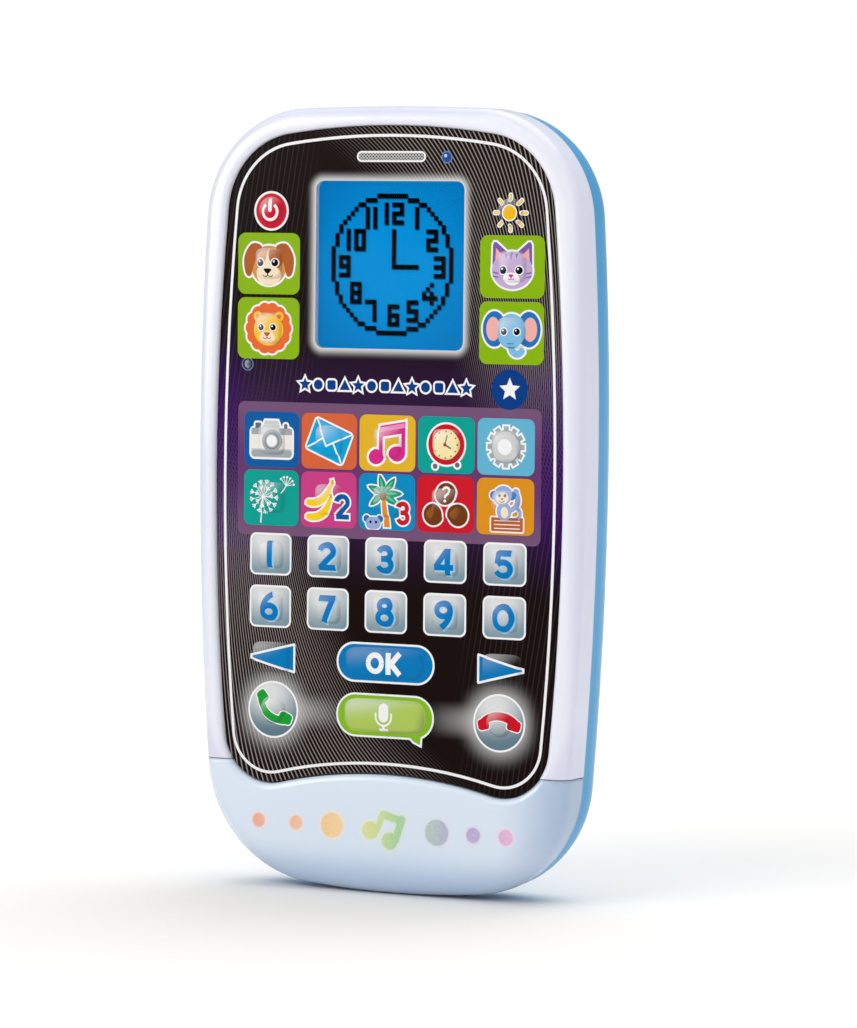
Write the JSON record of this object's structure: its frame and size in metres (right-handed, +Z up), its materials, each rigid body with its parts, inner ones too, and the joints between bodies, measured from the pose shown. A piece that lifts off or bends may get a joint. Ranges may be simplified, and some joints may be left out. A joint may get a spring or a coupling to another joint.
{
  "type": "toy cell phone",
  "caption": "Handheld toy cell phone with an embossed film keypad, a square screen, a row of lights at the bottom end and a battery door at the back.",
  "frame": {"origin": "centre of the bottom of the bounding box, with the phone upright on its bottom end", "axes": "+Z up along the phone, from the lights to the ear end; the face with the keys looks along -Y and the battery door along +Y; +X to the right as seen from the front"},
  "size_m": [0.0916, 0.022, 0.166],
  "materials": {
    "bezel_plastic": "smooth moulded ABS, pale lavender white",
    "rear_plastic": "smooth moulded ABS, sky blue",
    "light_cover_plastic": "milky translucent, pale blue",
    "label_film": "printed polyester film, black-brown to purple",
    "key_film": "embossed printed film on a moulded key",
    "clear_lens": "clear acrylic",
    "display_glass": "segment and pixel display",
    "white_plastic": "moulded ABS",
    "blue_light_block": "diffusing block over a blue lamp",
    "contact_rubber": "striped conductive rubber",
    "circuit_board": "green solder mask",
    "key_silicone": "translucent silicone",
    "color_film": "printed filter film",
    "screw_steel": "nickel-plated",
    "speaker_steel": "zinc-plated",
    "foam": "closed-cell foam",
    "cell_jacket": "plain dark sleeve",
    "contact_steel": "nickel-plated spring steel",
    "wire_insulation": "PVC insulation"
  },
  "bodies": {
    "handset": {"front_case": "bezel_plastic", "rear_case": "rear_plastic", "light_cover": "light_cover_plastic", "face_label": "label_film", "screen_lens": "clear_lens", "screen_glass": "display_glass", "screen_holder": "white_plastic", "backlight": "blue_light_block", "screen_contact_strip": "contact_rubber", "main_board": "circuit_board", "key_mat": "key_silicone", "microphone": "contact_steel", "microphone_boot": "key_silicone", "color_filter": "color_film", "light_board": "circuit_board", "case_screws": "screw_steel", "board_screws": "screw_steel", "speaker": "speaker_steel", "speaker_gasket": "foam", "battery_cells": "cell_jacket", "bridge_contact": "contact_steel", "positive_contact": "contact_steel", "negative_contact": "contact_steel", "speaker_wires": "wire_insulation", "battery_wires": "wire_insulation", "light_wires": "wire_insulation"},
    "door": {"battery_cover": "rear_plastic", "battery_cover_screw": "screw_steel"},
    "key_power": {"key_power": "key_film"},
    "key_sun": {"key_sun": "key_film"},
    "key_dog": {"key_dog": "key_film"},
    "key_lion": {"key_lion": "key_film"},
    "key_cat": {"key_cat": "key_film"},
    "key_elephant": {"key_elephant": "key_film"},
    "key_camera": {"key_camera": "key_film"},
    "key_mail": {"key_mail": "key_film"},
    "key_music": {"key_music": "key_film"},
    "key_alarm": {"key_alarm": "key_film"},
    "key_settings": {"key_settings": "key_film"},
    "key_dandelion": {"key_dandelion": "key_film"},
    "key_bananas": {"key_bananas": "key_film"},
    "key_palm": {"key_palm": "key_film"},
    "key_coconuts": {"key_coconuts": "key_film"},
    "key_monkey": {"key_monkey": "key_film"},
    "key_1": {"key_1": "key_film"},
    "key_2": {"key_2": "key_film"},
    "key_3": {"key_3": "key_film"},
    "key_4": {"key_4": "key_film"},
    "key_5": {"key_5": "key_film"},
    "key_6": {"key_6": "key_film"},
    "key_7": {"key_7": "key_film"},
    "key_8": {"key_8": "key_film"},
    "key_9": {"key_9": "key_film"},
    "key_0": {"key_0": "key_film"},
    "key_arrow_left": {"key_arrow_left": "key_film"},
    "key_arrow_right": {"key_arrow_right": "key_film"},
    "key_ok": {"key_ok": "key_film"},
    "key_talk": {"key_talk": "key_film"},
    "key_call": {"key_call": "key_film"},
    "key_hang_up": {"key_hang_up": "key_film"}
  },
  "joints": [
    {"name": "battery_cover_hinge", "type": "hinge", "parent": "handset", "child": "door", "pos_m": [0, 0.011, 0.0366], "axis": [-1, 0, 0], "range_deg": [0, 60]},
    {"name": "key_power_press", "type": "slide", "parent": "handset", "child": "key_power", "axis": [0, 1, 0], "range_m": [0, 0.0006], "stiffness_N_per_m": 900},
    {"name": "key_sun_press", "type": "slide", "parent": "handset", "child": "key_sun", "axis": [0, 1, 0], "range_m": [0, 0.0006], "stiffness_N_per_m": 900},
    {"name": "key_dog_press", "type": "slide", "parent": "handset", "child": "key_dog", "axis": [0, 1, 0], "range_m": [0, 0.0006], "stiffness_N_per_m": 900},
    {"name": "key_lion_press", "type": "slide", "parent": "handset", "child": "key_lion", "axis": [0, 1, 0], "range_m": [0, 0.0006], "stiffness_N_per_m": 900},
    {"name": "key_cat_press", "type": "slide", "parent": "handset", "child": "key_cat", "axis": [0, 1, 0], "range_m": [0, 0.0006], "stiffness_N_per_m": 900},
    {"name": "key_elephant_press", "type": "slide", "parent": "handset", "child": "key_elephant", "axis": [0, 1, 0], "range_m": [0, 0.0006], "stiffness_N_per_m": 900},
    {"name": "key_camera_press", "type": "slide", "parent": "handset", "child": "key_camera", "axis": [0, 1, 0], "range_m": [0, 0.0006], "stiffness_N_per_m": 900},
    {"name": "key_mail_press", "type": "slide", "parent": "handset", "child": "key_mail", "axis": [0, 1, 0], "range_m": [0, 0.0006], "stiffness_N_per_m": 900},
    {"name": "key_music_press", "type": "slide", "parent": "handset", "child": "key_music", "axis": [0, 1, 0], "range_m": [0, 0.0006], "stiffness_N_per_m": 900},
    {"name": "key_alarm_press", "type": "slide", "parent": "handset", "child": "key_alarm", "axis": [0, 1, 0], "range_m": [0, 0.0006], "stiffness_N_per_m": 900},
    {"name": "key_settings_press", "type": "slide", "parent": "handset", "child": "key_settings", "axis": [0, 1, 0], "range_m": [0, 0.0006], "stiffness_N_per_m": 900},
    {"name": "key_dandelion_press", "type": "slide", "parent": "handset", "child": "key_dandelion", "axis": [0, 1, 0], "range_m": [0, 0.0006], "stiffness_N_per_m": 900},
    {"name": "key_bananas_press", "type": "slide", "parent": "handset", "child": "key_bananas", "axis": [0, 1, 0], "range_m": [0, 0.0006], "stiffness_N_per_m": 900},
    {"name": "key_palm_press", "type": "slide", "parent": "handset", "child": "key_palm", "axis": [0, 1, 0], "range_m": [0, 0.0006], "stiffness_N_per_m": 900},
    {"name": "key_coconuts_press", "type": "slide", "parent": "handset", "child": "key_coconuts", "axis": [0, 1, 0], "range_m": [0, 0.0006], "stiffness_N_per_m": 900},
    {"name": "key_monkey_press", "type": "slide", "parent": "handset", "child": "key_monkey", "axis": [0, 1, 0], "range_m": [0, 0.0006], "stiffness_N_per_m": 900},
    {"name": "key_1_press", "type": "slide", "parent": "handset", "child": "key_1", "axis": [0, 1, 0], "range_m": [0, 0.0006], "stiffness_N_per_m": 900},
    {"name": "key_2_press", "type": "slide", "parent": "handset", "child": "key_2", "axis": [0, 1, 0], "range_m": [0, 0.0006], "stiffness_N_per_m": 900},
    {"name": "key_3_press", "type": "slide", "parent": "handset", "child": "key_3", "axis": [0, 1, 0], "range_m": [0, 0.0006], "stiffness_N_per_m": 900},
    {"name": "key_4_press", "type": "slide", "parent": "handset", "child": "key_4", "axis": [0, 1, 0], "range_m": [0, 0.0006], "stiffness_N_per_m": 900},
    {"name": "key_5_press", "type": "slide", "parent": "handset", "child": "key_5", "axis": [0, 1, 0], "range_m": [0, 0.0006], "stiffness_N_per_m": 900},
    {"name": "key_6_press", "type": "slide", "parent": "handset", "child": "key_6", "axis": [0, 1, 0], "range_m": [0, 0.0006], "stiffness_N_per_m": 900},
    {"name": "key_7_press", "type": "slide", "parent": "handset", "child": "key_7", "axis": [0, 1, 0], "range_m": [0, 0.0006], "stiffness_N_per_m": 900},
    {"name": "key_8_press", "type": "slide", "parent": "handset", "child": "key_8", "axis": [0, 1, 0], "range_m": [0, 0.0006], "stiffness_N_per_m": 900},
    {"name": "key_9_press", "type": "slide", "parent": "handset", "child": "key_9", "axis": [0, 1, 0], "range_m": [0, 0.0006], "stiffness_N_per_m": 900},
    {"name": "key_0_press", "type": "slide", "parent": "handset", "child": "key_0", "axis": [0, 1, 0], "range_m": [0, 0.0006], "stiffness_N_per_m": 900},
    {"name": "key_arrow_left_press", "type": "slide", "parent": "handset", "child": "key_arrow_left", "axis": [0, 1, 0], "range_m": [0, 0.0006], "stiffness_N_per_m": 900},
    {"name": "key_arrow_right_press", "type": "slide", "parent": "handset", "child": "key_arrow_right", "axis": [0, 1, 0], "range_m": [0, 0.0006], "stiffness_N_per_m": 900},
    {"name": "key_ok_press", "type": "slide", "parent": "handset", "child": "key_ok", "axis": [0, 1, 0], "range_m": [0, 0.0006], "stiffness_N_per_m": 900},
    {"name": "key_talk_press", "type": "slide", "parent": "handset", "child": "key_talk", "axis": [0, 1, 0], "range_m": [0, 0.0006], "stiffness_N_per_m": 900},
    {"name": "key_call_press", "type": "slide", "parent": "handset", "child": "key_call", "axis": [0, 1, 0], "range_m": [0, 0.0006], "stiffness_N_per_m": 900},
    {"name": "key_hang_up_press", "type": "slide", "parent": "handset", "child": "key_hang_up", "axis": [0, 1, 0], "range_m": [0, 0.0006], "stiffness_N_per_m": 900}
  ]
}
